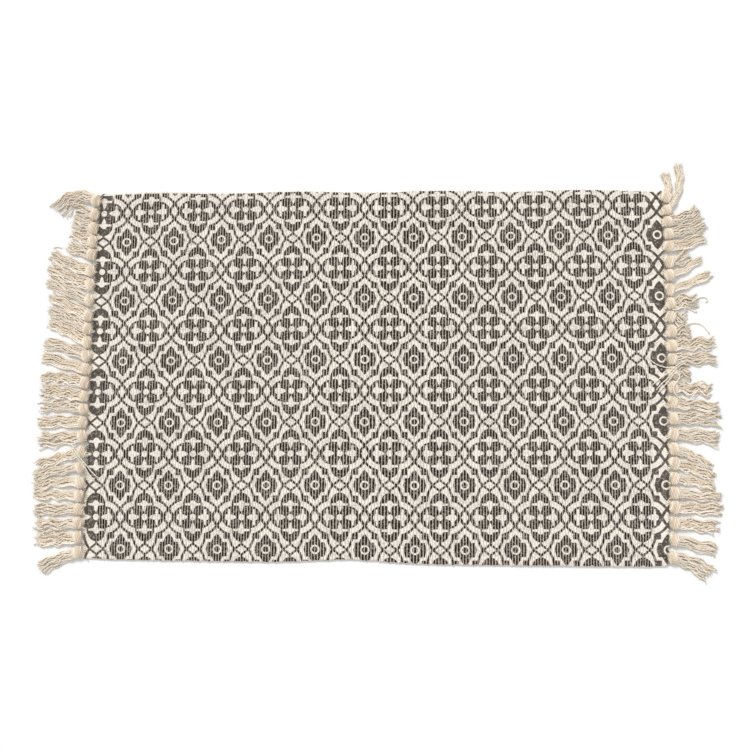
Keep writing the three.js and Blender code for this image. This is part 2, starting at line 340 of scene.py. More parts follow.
class Maths:
    """Adds maths nodes to a tree, fed by numbers or sockets"""

    def __init__(self, tree):
        self.tree = tree

    def __call__(self, operation, *values, clamp=False):
        node = self.tree.nodes.new("ShaderNodeMath")
        node.operation = operation
        node.use_clamp = clamp
        for socket, value in zip(node.inputs, values):
            self.feed(socket, value)
        return node.outputs[0]

    def feed(self, socket, value):
        if isinstance(value, bpy.types.NodeSocket):
            self.tree.links.new(value, socket)
        else:
            socket.default_value = value

    def chain(self, operation, values):
        result = values[0]
        for value in values[1:]:
            result = self(operation, result, value)
        return result

    def length(self, x, y):
        return self("SQRT", self("ADD", self("MULTIPLY", x, x), self("MULTIPLY", y, y)))

    def ramp(self, value, low, high, out_low=0.0, out_high=1.0):
        node = self.tree.nodes.new("ShaderNodeMapRange")
        node.interpolation_type = "SMOOTHSTEP"
        for socket, item in zip(node.inputs, (value, low, high, out_low, out_high)):
            self.feed(socket, item)
        return node.outputs[0]

    def mix(self, factor, first, second):
        node = self.tree.nodes.new("ShaderNodeMix")
        node.data_type = "RGBA"
        self.feed(node.inputs["Factor"], factor)
        for socket, value in ((node.inputs[6], first), (node.inputs[7], second)):
            self.feed(socket, value if isinstance(value, bpy.types.NodeSocket) else (*value, 1.0))
        return node.outputs[2]

    def noise(self, vector, scale, detail):
        node = self.tree.nodes.new("ShaderNodeTexNoise")
        node.inputs["Scale"].default_value = scale
        node.inputs["Detail"].default_value = detail
        self.feed(node.inputs["Vector"], vector)
        return node.outputs["Fac"]


def new_group(name, inputs, outputs):
    """Starts a shader node group with named float or vector sockets"""
    tree = bpy.data.node_groups.new(name, "ShaderNodeTree")
    for socket, kind in inputs:
        tree.interface.new_socket(socket, in_out="INPUT", socket_type=kind)
    for socket, kind in outputs:
        tree.interface.new_socket(socket, in_out="OUTPUT", socket_type=kind)
    return tree, tree.nodes.new("NodeGroupInput"), tree.nodes.new("NodeGroupOutput")


def place_group(tree, group, **values):
    """Adds a node group to a tree and feeds its sockets by name"""
    node = tree.nodes.new("ShaderNodeGroup")
    node.node_tree = bpy.data.node_groups[group]
    maths = Maths(tree)
    for name, value in values.items():
        maths.feed(node.inputs[name], value)
    return node


# The print, as distances to its shapes: below zero is printed


def inside_ellipse(maths, x, y, centre, radii):
    """Distance to an ellipse, below zero inside it"""
    across = maths("DIVIDE", maths("SUBTRACT", x, centre[0]), radii[0])
    along = maths("DIVIDE", maths("SUBTRACT", y, centre[1]), radii[1])
    return maths("MULTIPLY", maths("SUBTRACT", maths.length(across, along), 1.0), min(radii))


def inside_box(maths, x, y, centre, half):
    """Distance to an upright box, below zero inside it"""
    across = maths("SUBTRACT", maths("ABSOLUTE", maths("SUBTRACT", x, centre[0])), half[0])
    along = maths("SUBTRACT", maths("ABSOLUTE", maths("SUBTRACT", y, centre[1])), half[1])
    return maths("MAXIMUM", across, along)


def inside_diamond(maths, x, y, half_width, half_height):
    """Distance to one quarter of a diamond about the origin, below zero inside it"""
    spread = maths("ADD", maths("DIVIDE", x, half_width), maths("DIVIDE", y, half_height))
    scale = 1 / math.hypot(1 / half_width, 1 / half_height)
    return maths("MULTIPLY", maths("SUBTRACT", spread, 1.0), scale)


def on_arc(maths, x, y, centre, radius, thickness):
    """Distance to a ring of some thickness, below zero on it"""
    away = inside_ellipse(maths, x, y, centre, (radius, radius))
    return maths("SUBTRACT", maths("ABSOLUTE", away), thickness / 2)


def between(maths, outer, inner):
    """A band that lies inside one outline and outside another"""
    return maths("MAXIMUM", outer, maths("MULTIPLY", inner, -1.0))


def inside_dart(maths, along, aside, breadth):
    """An unprinted dart that points to the middle of the flower, with two arms and a round end"""
    bulb = inside_ellipse(maths, along, aside, *DART_BULB)
    past_start = maths("SUBTRACT", aside, DART_ARM_TAPER["start"])
    thinning = maths("MULTIPLY", past_start, DART_ARM_TAPER["slope"])
    arms = maths("ADD", inside_box(maths, along, aside, *DART_ARMS), thinning)
    curve = maths("DIVIDE", maths("MULTIPLY", aside, aside), breadth)
    past_tip = maths("SUBTRACT", along, DART_TONGUE["tip"])
    sides = maths("MULTIPLY", maths("SUBTRACT", curve, past_tip), DART_TONGUE["steepness"])
    tongue = maths("MAXIMUM", sides, maths("SUBTRACT", along, DART_TONGUE["foot"]))
    return maths.chain("MINIMUM", (bulb, arms, tongue))


def flower(maths, x, y):
    """Four joined lobes with an unprinted eye and four unprinted darts"""
    tall = inside_ellipse(maths, x, y, *TALL_LOBE)
    wide = inside_ellipse(maths, x, y, *WIDE_LOBE)
    lobes = maths("MINIMUM", tall, wide)
    eye = inside_ellipse(maths, x, y, *FLOWER_EYE)
    tall_dart = inside_dart(maths, y, x, TALL_DART_BREADTH)
    wide_dart = inside_dart(maths, x, y, WIDE_DART_BREADTH)
    return between(maths, lobes, maths.chain("MINIMUM", (eye, tall_dart, wide_dart)))


def medallion(maths, x, y):
    """A stepped diamond with pointed ends and an unprinted ring, at the far corner of the quarter"""
    across = maths("SUBTRACT", REPEAT_LENGTH / 2, x)
    along = maths("SUBTRACT", REPEAT_WIDTH / 2, y)
    leaning = maths("ADD", across, maths("MULTIPLY", along, MEDALLION["lean"]))
    slant = maths("SUBTRACT", leaning, MEDALLION["half_length"])
    body = maths("MAXIMUM", slant, maths("SUBTRACT", along, MEDALLION["half_width"]))
    point = inside_ellipse(maths, across, along, *MEDALLION_POINT)
    ring = on_arc(maths, across, along, **MEDALLION_RING)
    return between(maths, maths("MINIMUM", body, point), ring)


def strapwork(maths, x, y):
    """The interlaced lines that frame the flowers and medallions, and the small diamonds"""
    arch = maths("MAXIMUM", on_arc(maths, x, y, **ARCH), maths("SUBTRACT", ARCH_START, x))
    flank = maths("MAXIMUM", on_arc(maths, x, y, **FLANK), maths("SUBTRACT", FLANK_START, y))
    square = inside_box(maths, x, y, *KNOB_SQUARE)
    knob = maths("MAXIMUM", square, inside_ellipse(maths, x, y, *KNOB_ROUND))
    stem = inside_box(maths, x, y, *STEM)
    beside = maths("SUBTRACT", REPEAT_LENGTH / 2, x)
    above = maths("SUBTRACT", REPEAT_WIDTH / 2, y)
    tall = between(maths, *(inside_diamond(maths, beside, y, *half) for half in TALL_DIAMOND))
    wide = between(maths, *(inside_diamond(maths, x, above, *half) for half in WIDE_DIAMOND))
    return maths.chain("MINIMUM", (arch, flank, knob, stem, tall, wide))


def make_print_group():
    """Lattice print: a place on the cloth in metres to a mask that is 1 where it is printed"""
    tree, given, result = new_group(
        "Lattice print",
        (("Place", "NodeSocketVector"), ("Bleed", "NodeSocketFloat")),
        (("Print", "NodeSocketFloat"),))
    maths = Maths(tree)
    split = tree.nodes.new("ShaderNodeSeparateXYZ")
    tree.links.new(given.outputs["Place"], split.inputs[0])
    place_x = maths("DIVIDE", split.outputs[0], MM)
    place_y = maths("DIVIDE", split.outputs[1], MM)
    x = maths("SUBTRACT", place_x, PRINT_ORIGIN[0])
    y = maths("SUBTRACT", place_y, PRINT_ORIGIN[1])
    for centre, reach, shift in PRINT_PULLS:
        across = maths("DIVIDE", maths("SUBTRACT", place_x, centre[0]), reach[0])
        along = maths("DIVIDE", maths("SUBTRACT", place_y, centre[1]), reach[1])
        square = maths("ADD", maths("MULTIPLY", across, across), maths("MULTIPLY", along, along))
        pull = maths("EXPONENT", maths("MULTIPLY", square, -1.0))
        x = maths("SUBTRACT", x, maths("MULTIPLY", pull, shift[0]))
        y = maths("SUBTRACT", y, maths("MULTIPLY", pull, shift[1]))
    cosine, sine = math.cos(PRINT_TURN), math.sin(PRINT_TURN)
    along = maths("ADD", maths("MULTIPLY", x, cosine), maths("MULTIPLY", y, sine))
    across = maths("SUBTRACT", maths("MULTIPLY", y, cosine), maths("MULTIPLY", x, sine))
    quarter_x = maths("PINGPONG", maths("ABSOLUTE", along), REPEAT_LENGTH / 2)
    quarter_y = maths("PINGPONG", maths("ABSOLUTE", across), REPEAT_WIDTH / 2)
    shapes = [shape(maths, quarter_x, quarter_y) for shape in (flower, medallion, strapwork)]
    nearest = maths.chain("MINIMUM", shapes)
    edge = maths("MULTIPLY", given.outputs["Bleed"], -1.0)
    tree.links.new(maths.ramp(nearest, edge, given.outputs["Bleed"], 1.0, 0.0), result.inputs["Print"])


def make_fibre_group():
    """Cotton fibre: fine lint over broad blotches as a tone about 1, and the lint as a height"""
    tree, given, result = new_group(
        "Cotton fibre", (("Place", "NodeSocketVector"), ("Tone", "NodeSocketFloat")),
        (("Shade", "NodeSocketFloat"), ("Height", "NodeSocketFloat")))
    maths = Maths(tree)
    fine = maths.noise(given.outputs["Place"], LINT_SCALE, 3.0)
    broad = maths.noise(given.outputs["Place"], BLOTCH_SCALE, 2.0)
    both = maths("ADD", maths("MULTIPLY", fine, 0.75), maths("MULTIPLY", broad, 0.25))
    swing = maths("MULTIPLY", maths("SUBTRACT", both, 0.5), given.outputs["Tone"])
    tree.links.new(maths("MINIMUM", maths("ADD", swing, 1.0), LIGHTEST_TONE), result.inputs["Shade"])
    tree.links.new(fine, result.inputs["Height"])


def plain_material(name, roughness, sheen):
    """Starts a soft, dull material, and gives it with its tree and its shader"""
    material = bpy.data.materials.new(name)
    material.use_nodes = True
    shader = material.node_tree.nodes["Principled BSDF"]
    shader.inputs["Roughness"].default_value = roughness
    shader.inputs["Sheen Weight"].default_value = sheen
    shader.inputs["Specular IOR Level"].default_value = 0.12
    return material, material.node_tree, shader


def shaded(maths, colour, shade):
    """A colour made lighter or darker by a shade about 1"""
    node = maths.tree.nodes.new("ShaderNodeVectorMath")
    node.operation = "SCALE"
    maths.feed(node.inputs[0], colour)
    maths.feed(node.inputs["Scale"], shade)
    return node.outputs[0]


def cotton_material(settings):
    """Printed weft-ribbed cotton: charcoal on the rib crests, thinner ink and painted shade down in the
    grooves
    """
    material, tree, shader = plain_material("printed_cotton", 0.95, 0.03)
    maths = Maths(tree)
    coordinates = tree.nodes.new("ShaderNodeTexCoord").outputs["Object"]
    lie = tree.nodes.new("ShaderNodeUVMap")
    lie.uv_map = "lie"
    split = tree.nodes.new("ShaderNodeSeparateXYZ")
    tree.links.new(lie.outputs[0], split.inputs[0])
    ribs, inset = split.outputs[0], split.outputs[1]
    phase = maths("FRACT", ribs)
    crest = maths("SINE", maths("MULTIPLY", phase, math.pi))
    first, last = rib_count(-HALF_LENGTH + LEFT_HEADING), rib_count(HALF_LENGTH - RIGHT_HEADING)
    past_first = maths("GREATER_THAN", ribs, math.ceil(first))
    ribbed = maths("MULTIPLY", past_first, maths("LESS_THAN", ribs, math.floor(last)))
    groove = maths("MULTIPLY", maths.ramp(crest, *GROOVE_RAMP, 1.0, 0.0), ribbed)
    ink = place_group(tree, "Lattice print", Place=coordinates, Bleed=CLOTH_BLEED).outputs["Print"]
    patchy = maths.ramp(maths.noise(coordinates, LINT_SCALE, 3.0), *PATCH_RAMP)
    heading = maths("SUBTRACT", 1.0, ribbed)
    worn = maths("ADD", maths("MULTIPLY", patchy, PATCH_LOSS), maths("MULTIPLY", heading, HEADING_LOSS))
    thin = maths("ADD", maths("MULTIPLY", groove, GROOVE_LOSS), worn, clamp=True)
    place_split = tree.nodes.new("ShaderNodeSeparateXYZ")
    tree.links.new(coordinates, place_split.inputs[0])
    far_side = maths.ramp(place_split.outputs[1], -0.1, 0.1)
    far_left = maths("MULTIPLY", maths.ramp(place_split.outputs[0], -0.33, -0.24, 1.0, 0.0), far_side)
    missed_far = maths("MULTIPLY", far_side, FAR_MISS)
    missed = maths("ADD", missed_far, maths("MULTIPLY", far_left, FAR_LEFT_MISS))
    bare = maths.ramp(maths("SUBTRACT", inset, missed), 0.3, 1.5)
    face = maths.ramp(place_split.outputs[2], 0.8 * MM, 1.6 * MM, UNDERSIDE_SHARE, 1.0)
    ink = maths("MULTIPLY", ink, maths("SUBTRACT", 1.0, thin))
    ink = maths("MULTIPLY", ink, maths("MULTIPLY", bare, face))
    fibre = place_group(tree, "Cotton fibre", Place=coordinates, Tone=CLOTH_MOTTLE)
    # Painted shade: the open grooves between the ribs are darkened in the colour, on top of the cotton's
    # own mottle
    painted_groove_shade = maths("SUBTRACT", 1.0, maths("MULTIPLY", groove, PAINTED_GROOVE_SHADE))
    mottle_and_painted_shade = maths("MULTIPLY", fibre.outputs["Shade"], painted_groove_shade)
    colour = shaded(maths, maths.mix(ink, settings.cream, settings.charcoal), mottle_and_painted_shade)
    tree.links.new(colour, shader.inputs["Base Color"])
    offset = maths("MULTIPLY", maths("FLOOR", ribs), 0.5)
    warp = maths("ADD", maths("DIVIDE", place_split.outputs[1], FLOAT_PITCH * MM), offset)
    float_height = maths("ABSOLUTE", maths("SINE", maths("MULTIPLY", warp, math.pi)))
    lint = maths("MULTIPLY", fibre.outputs["Height"], 0.5)
    height = maths("ADD", maths("MULTIPLY", float_height, 0.7), lint)
    bump = tree.nodes.new("ShaderNodeBump")
    bump.inputs["Strength"].default_value = 0.6
    bump.inputs["Distance"].default_value = 0.5 * MM
    tree.links.new(height, bump.inputs["Height"])
    tree.links.new(bump.outputs[0], shader.inputs["Normal"])
    return material


def yarn_material(settings):
    """Undyed twisted cotton: each yarn with its own tone, painted shade along its twist and low down, and
    print left on the warp ends' roots
    """
    material, tree, shader = plain_material("natural_yarn", 0.95, 0.12)
    maths = Maths(tree)
    coordinates = tree.nodes.new("ShaderNodeTexCoord").outputs["Object"]
    spin = tree.nodes.new("ShaderNodeUVMap")
    spin.uv_map = "spin"
    split = tree.nodes.new("ShaderNodeSeparateXYZ")
    tree.links.new(spin.outputs[0], split.inputs[0])
    along, tone = split.outputs[0], split.outputs[1]
    number = maths("FLOOR", tone)
    turn = maths("FRACT", tone)
    own = tree.nodes.new("ShaderNodeTexWhiteNoise")
    own.noise_dimensions = "1D"
    tree.links.new(number, own.inputs["W"])
    dye = tree.nodes.new("ShaderNodeUVMap")
    dye.uv_map = "dye"
    dye_split = tree.nodes.new("ShaderNodeSeparateXYZ")
    tree.links.new(dye.outputs[0], dye_split.inputs[0])
    place_split = tree.nodes.new("ShaderNodeSeparateXYZ")
    tree.links.new(coordinates, place_split.inputs[0])
    fibre = place_group(tree, "Cotton fibre", Place=coordinates, Tone=YARN_MOTTLE)
    twist = maths("SINE", maths("ADD", maths("MULTIPLY", along, 2.2), maths("MULTIPLY", turn, 4 * math.pi)))
    darkest, lightest = YARN_TONES
    spread = maths("MULTIPLY", own.outputs["Value"], lightest - darkest)
    lightness = maths("ADD", spread, darkest)
    shade = maths("MULTIPLY", fibre.outputs["Shade"], lightness)
    # Painted shade: the grooves of the twist are darker and its ridges lighter, in step with the bump
    shade = maths("MULTIPLY", shade, maths("ADD", maths("MULTIPLY", twist, 0.06), 1.0))
    # Painted shade: yarn that lies lower, nearer the floor and under other yarns, is darker
    shade = maths("MULTIPLY", shade, maths.ramp(place_split.outputs[2], 1.0 * MM, 4.5 * MM, 0.86, 1.0))
    warmth = maths("FRACT", maths("MULTIPLY", own.outputs["Value"], 7.3))
    natural = maths.mix(warmth, settings.yarn, settings.deep_yarn)
    ink = place_group(tree, "Lattice print", Place=coordinates, Bleed=YARN_BLEED).outputs["Print"]
    ink = maths("MULTIPLY", maths("MULTIPLY", ink, dye_split.outputs[0]), YARN_SHARE)
    colour = maths.mix(ink, natural, settings.charcoal)
    tree.links.new(shaded(maths, colour, shade), shader.inputs["Base Color"])
    height = maths("ADD", maths("MULTIPLY", twist, 0.5), fibre.outputs["Height"])
    bump = tree.nodes.new("ShaderNodeBump")
    bump.inputs["Strength"].default_value = 0.5
    bump.inputs["Distance"].default_value = 0.3 * MM
    tree.links.new(height, bump.inputs["Height"])
    tree.links.new(bump.outputs[0], shader.inputs["Normal"])
    return material


# The cloth: places of the steps across one rib, and sizes in millimetres

RIB_STEPS = (0.0, 0.1, 0.28, 0.5, 0.72, 0.9)
HEADING_STEP = 1.6
INNER_ROWS = 25
RIM_INSETS = (0.0, 0.5, 1.4, 3.0, 6.0)
LOOP_BULGE = 1.1
LOOP_UNEVENNESS = 0.35
CREST_POWER = 0.6
CREST_UNEVENNESS = 0.12
SELVEDGE_THICKNESS = 2.6
EASE_REACH = 60
LAY_CLEARANCE = 0.05
LAY_WAVE = 0.12
LAY_WAVE_REACH = 40


def cloth_stations():
    """Places along the rug: several for each rib, and an even spread over the headings"""
    first = math.ceil(rib_count(-HALF_LENGTH + LEFT_HEADING))
    last = math.floor(rib_count(HALF_LENGTH - RIGHT_HEADING))
    counts = np.array([rib + step for rib in range(first, last) for step in RIB_STEPS] + [last])
    fine = np.linspace(-HALF_LENGTH, HALF_LENGTH, 20001)
    ribbed = np.interp(counts, rib_count(fine), fine)
    left = np.arange(-HALF_LENGTH, ribbed[0] - HEADING_STEP / 2, HEADING_STEP)
    right = np.arange(HALF_LENGTH, ribbed[-1] + HEADING_STEP / 2, -HEADING_STEP)[::-1]
    return np.concatenate((left, ribbed, right)), first, last


def cloth_places(settings, rng):
    """Grids of places for the upper and under face, with rib count and inset from the long edges"""
    stations, first, last = cloth_stations()
    counts = rib_count(stations)
    ribbed = (counts > first - 1e-6) & (counts < last + 1e-6)
    crest = np.where(ribbed, np.abs(np.sin(np.pi * counts)) ** CREST_POWER, 0.0)
    rib = np.clip(np.floor(counts).astype(int) - first + 1, 0, last - first + 2)
    loose = rng.normal(0, LOOP_UNEVENNESS, last - first + 3)[rib]
    near = near_edge(stations) - LOOP_BULGE * crest + loose * crest
    far = far_edge(stations) + LOOP_BULGE * crest - loose[::-1] * crest
    rims = np.array(RIM_INSETS)
    middle = np.linspace(0, 1, INNER_ROWS + 2)[1:-1]
    inner_near, inner_far = near + rims[-1], far - rims[-1]
    rows = [near + inset for inset in rims]
    rows += [inner_near + part * (inner_far - inner_near) for part in middle]
    rows += [far - inset for inset in rims[::-1]]
    y = np.stack(rows, axis=1)
    x = np.repeat(stations[:, None], y.shape[1], axis=1)
    pull = np.clip((np.abs(x) - (HALF_LENGTH - EASE_REACH)) / EASE_REACH, 0, 1)
    side = np.sign(x)
    edge = np.where(side < 0, short_edge(-1, y), short_edge(1, y))
    x = x + side * (edge - HALF_LENGTH) * pull
    inset = np.minimum(y - near[:, None], far[:, None] - y)
    crest = crest[:, None] * (1 + CREST_UNEVENNESS * rng.normal(0, 1, y.shape))
    groove = settings.groove / MM
    rise = (settings.crest - settings.groove) / MM
    thick = np.where(ribbed[:, None], groove + rise * crest, HEADING_THICKNESS)
    rim = np.clip(inset / rims[3], 0, 1)
    half = thick / 2 * np.sqrt(1 - (1 - rim) ** 2 * (1 - (0.35 * SELVEDGE_THICKNESS / thick) ** 2))
    wave = LAY_WAVE * np.sin(x / 41 + y / 57) * np.clip(inset / LAY_WAVE_REACH, 0, 1)
    mid = (settings.crest / MM) / 2 + LAY_CLEARANCE + wave
    upper = np.stack((x, y, mid + half), axis=-1)
    under = np.stack((x, y, np.maximum(mid - half, 0.02)), axis=-1)
    lie = np.stack((np.repeat(counts[:, None], y.shape[1], axis=1), inset), axis=-1)
    return upper, under, lie


def sheet_faces(rows, columns):
    """Quads of a closed sheet: upper grid, under grid and the rim that joins them"""
    index = np.arange(rows * columns).reshape(rows, columns)
    under = index + rows * columns
    top = np.stack((index[:-1, :-1], index[1:, :-1], index[1:, 1:], index[:-1, 1:]), axis=-1)
    base = np.stack((under[:-1, :-1], under[:-1, 1:], under[1:, 1:], under[1:, :-1]), axis=-1)
    ring = np.concatenate((index[:-1, 0], index[-1, :-1], index[:0:-1, -1], index[0, :0:-1]))
    after = np.roll(ring, -1)
    rim = np.stack((ring, ring + rows * columns, after + rows * columns, after), axis=-1)
    return np.concatenate((top.reshape(-1, 4), base.reshape(-1, 4), rim)).tolist()


class RUG_OT_weave_cloth(Operator):
    """Weave the ribbed cloth with its headings and selvedges, and print it"""

    bl_idname = "rug.weave_cloth"
    bl_label = "Weave the cloth"

    def execute(self, context):
        settings = context.scene.rug_settings
        make_print_group()
        make_fibre_group()
        upper, under, lie = cloth_places(settings, np.random.default_rng(SEED))
        rows, columns = upper.shape[:2]
        places = np.concatenate((upper.reshape(-1, 3), under.reshape(-1, 3)))
        cloth = mesh_object("woven_cloth", places, sheet_faces(rows, columns))
        lay_map(cloth, "lie", np.tile(lie.reshape(-1, 2), (2, 1)))
        cloth.data.materials.append(cotton_material(settings))
        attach(cloth, "root")
        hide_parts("cloth")
        return {"FINISHED"}


# The fringe: sizes in millimetres, and shares of them

PLY_SIDES = 6
PLY_STEP = 2.2
PLY_TURN = 11.0
PLY_OFFSET = 0.66
TIP_FRAY = 7.0
HAIR_RADIUS = 0.09
HAIR_LENGTHS = (2.5, 6)
CORE_PUFF = 0.86
WRAP_THICKENING = 1.15
WAVE_LENGTHS = (22, 36)
BROAD_WAVE = 1.5
FINE_WAVE = 0.5
HEIGHT_WAVE = 0.8
STRAY_THINNING = 0.85

# The last side of a tube stays this far round it, so that the spin map keeps each yarn's number
FULL_TURN = 0.98

# How much print each of the five places along a warp end has caught, from the cloth to the knot
WARP_END_DYE = (1.0, 1.0, 1.0, 0.6, 0.0)


class Bundle:
    """Collects tubes into one mesh, each with its yarn number for the spin map and its share of print"""

    def __init__(self):
        self.places = []
        self.faces = []
        self.spin = []
        self.dye = []
        self.count = 0
        self.number = 0

    def grid(self, places, along, around, dye):
        """Adds a closed tube of rings: its places are rings by sides by three"""
        rings, sides = places.shape[:2]
        index = self.count + np.arange(rings * sides).reshape(rings, sides)
        after = np.roll(index, -1, axis=1)
        quads = np.stack((index[:-1], after[:-1], after[1:], index[1:]), axis=-1).reshape(-1, 4)
        self.faces += quads.tolist()
        self.faces += [index[0, ::-1].tolist(), index[-1].tolist()]
        self.places.append(places.reshape(-1, 3))
        turns = np.broadcast_to(around, (rings, sides))
        reach = np.repeat(along[:, None], sides, axis=1)
        self.spin.append(np.stack((reach, self.number + turns), axis=-1).reshape(-1, 2))
        inked = np.broadcast_to(np.asarray(dye, dtype=float).reshape(-1, 1), (rings, sides))
        self.dye.append(np.stack((inked, np.zeros((rings, sides))), axis=-1).reshape(-1, 2))
        self.count += rings * sides

    def tube(self, path, radii, sides=PLY_SIDES, upright=True, dye=0.0):
        """Adds a round tube along a path of places, upright where it runs level over the floor"""
        tangent = np.gradient(path, axis=0)
        tangent /= np.linalg.norm(tangent, axis=1, keepdims=True) + 1e-9
        reference = (0.0, 0.0, 1.0) if upright else (1.0, 0.0, 0.0)
        aside = np.cross(reference, tangent)
        aside /= np.linalg.norm(aside, axis=1, keepdims=True) + 1e-9
        above = np.cross(tangent, aside)
        turns = np.arange(sides) / sides
        across = np.cos(2 * np.pi * turns)[None, :, None] * aside[:, None]
        ring = across + np.sin(2 * np.pi * turns)[None, :, None] * above[:, None]
        steps = np.concatenate(([0], np.cumsum(np.linalg.norm(np.diff(path, axis=0), axis=1))))
        self.grid(path[:, None] + ring * np.asarray(radii)[:, None, None], steps, turns * FULL_TURN, dye)

    def yarn(self, path, radius, rng):
        """Adds a two-ply yarn along a path, with its plies parted and linty at the tip"""
        self.number += 1
        tangent = np.gradient(path, axis=0)
        aside = np.stack((-tangent[:, 1], tangent[:, 0], np.zeros(len(path))), axis=1)
        aside /= np.linalg.norm(aside, axis=1, keepdims=True) + 1e-9
        above = np.array((0.0, 0.0, 1.0))
        steps = np.concatenate(([0], np.cumsum(np.linalg.norm(np.diff(path, axis=0), axis=1))))
        left = steps[-1] - steps
        open_tip = np.clip(1 - left / TIP_FRAY, 0, 1)
        angle = rng.uniform(0, 2 * np.pi) + 2 * np.pi * steps / PLY_TURN
        for ply in (0, np.pi):
            reach = radius * (PLY_OFFSET + 0.9 * open_tip)
            swing = np.cos(angle + ply)[:, None] * aside + 0.8 * np.sin(angle + ply)[:, None] * above
            strand = path + reach[:, None] * swing
            strand[:, 2] = np.maximum(strand[:, 2], radius * 1.02)
            self.tube(strand, radius * (1 - 0.45 * open_tip))
            for _ in range(2):
                self.hair(strand[-2], strand[-1] - strand[-3], rng)

    def hair(self, root, heading, rng):
        """Adds one loose fibre at a yarn's tip"""
        heading = heading / (np.linalg.norm(heading) + 1e-9)
        sway = rng.normal(0, 0.45, 3) * (1, 1, 0.25)
        parts = np.linspace(0, 1, 4)[:, None]
        path = root + heading * parts * rng.uniform(*HAIR_LENGTHS) + sway * parts ** 2 * 4
        path[:, 2] = np.maximum(path[:, 2], 0.15)
        self.tube(path, np.linspace(HAIR_RADIUS, HAIR_RADIUS / 3, 4), 3)

    def build(self, name, material):
        """Makes one mesh object of all the tubes, riding on the rug's only body"""
        piece = mesh_object(name, np.concatenate(self.places), self.faces)
        lay_map(piece, "spin", np.concatenate(self.spin))
        lay_map(piece, "dye", np.concatenate(self.dye))
        piece.data.materials.append(material)
        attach(piece, "root")
        return piece


def bowed_line(side, lay, parts):
    """Places along a tassel's middle line, as a curve with one bend, and the way it points"""
    tip = np.array((side * lay["reach"], lay["drift"]), dtype=float)
    sideways = np.array((-tip[1], tip[0])) / np.linalg.norm(tip) * side * 2 * lay["bow"]
    bend = tip / 2 + sideways
    parts = np.asarray(parts)[:, None]
    places = 2 * parts * (1 - parts) * bend + parts ** 2 * tip
    heading = 2 * (1 - parts) * bend + 2 * parts * (tip - bend)
    heading /= np.linalg.norm(heading, axis=1, keepdims=True)
    return places, heading


def knot_places(centre, side, half_width, along, turn, puff):
    """Places on the plump outline of a knot: along it, from -1 to 1, and round it"""
    plump = np.sqrt(np.clip(1 - np.abs(along) ** 2.4, 0, 1)) * puff
    x = centre[0] + side * KNOT_HALF_LENGTH * along
    y = centre[1] + half_width * plump * np.cos(turn)
    z = KNOT_HEIGHT / 2 + KNOT_HEIGHT / 2 * plump * np.sin(turn)
    return np.stack(np.broadcast_arrays(x, y, z), axis=-1)


def knot_dye(along):
    """How much print a knot has caught at places along it: some at the end beside the cloth"""
    return np.clip(-2.2 * along - 1.3, 0, 0.5)


def tie_knot(bundle, centre, side, half_width, radius, rng):
    """Adds an overhand knot: a plump core with a slanting band of yarns wound round it"""
    bundle.number += 1
    sides = 16
    along = np.linspace(-0.97, 0.97, 9)
    turn = np.arange(sides)[None, :] / sides * 2 * np.pi
    core = knot_places(centre, side, half_width, along[:, None], side * turn, CORE_PUFF)
    core[..., 2] = np.maximum(core[..., 2], 0.1)
    around = np.arange(sides) / sides * FULL_TURN
    bundle.grid(core, (along + 1) * KNOT_HALF_LENGTH, around, knot_dye(along))
    slant = rng.uniform(0.25, 0.4) * rng.choice((-1, 1))
    lean = rng.uniform(-0.6, 0.6)
    for place in np.linspace(-0.78, 0.78, KNOT_WRAPS):
        bundle.number += 1
        turn = np.linspace(0, 2 * np.pi, 22) + rng.uniform(0, 0.4)
        along = np.clip(place + slant * np.cos(turn + lean) + rng.normal(0, 0.02), -0.95, 0.95)
        wrap = knot_places(centre, side, half_width - radius, along, turn, rng.uniform(0.93, 1.0))
        wrap[:, 2] = np.maximum(wrap[:, 2], radius * 1.1)
        radii = np.full(len(turn), radius * WRAP_THICKENING)
        bundle.tube(wrap, radii, upright=False, dye=knot_dye(along))


def tassel_yarns(bundle, centre, side, lay, settings, rng):
    """Adds the yarns of one tassel, which leave the knot side by side and wave much alike"""
    count = settings.yarns
    radius = settings.yarn_radius / MM
    length = math.hypot(lay["reach"], lay["drift"]) + abs(lay["bow"])
    starts = np.linspace(-1, 1, count) + rng.normal(0, 0.05, count)
    ends = np.linspace(-1, 1, count) + rng.normal(0, 0.16, count) * lay["curl"]
    layers = (np.arange(count) + rng.integers(0, 2)) % 2
    wave_length = rng.uniform(*WAVE_LENGTHS)
    wave_start = rng.uniform(0, 6)
    for start, end, layer in zip(starts, ends, layers):
        reach = rng.uniform(0.9, 1.04)
        steps = max(8, int(length * reach / PLY_STEP))
        parts = np.linspace(0.02, reach, steps)
        line, heading = bowed_line(side, lay, parts)
        aside = np.stack((-heading[:, 1], heading[:, 0]), axis=1) * side
        width = lay["root"] + (lay["fan"] - lay["root"]) * parts
        blend = parts ** 1.5
        place = (start * (1 - blend) + end * blend) * width / 2
        wave = 2 * np.pi * parts * length / wave_length + wave_start + rng.normal(0, 0.8)
        grown = np.clip(parts * 3, 0, 1) * lay["curl"]
        fine = FINE_WAVE * np.sin(wave * 1.7 + rng.uniform(0, 6))
        place = place + grown * (BROAD_WAVE * np.sin(wave) + fine)
        lift = HEIGHT_WAVE * np.sin(wave * 0.8 + rng.uniform(0, 6))
        height = radius * (1.9 + 2.1 * layer) + grown * lift
        settle = np.clip((parts - 0.12) * 3, 0, 1)
        height = height * settle + (KNOT_HEIGHT * 0.5 + (layer - 0.5) * 2.4) * (1 - settle)
        lying = np.asarray(centre) + line + aside * place[:, None]
        bundle.yarn(np.column_stack((lying, height)), radius, rng)


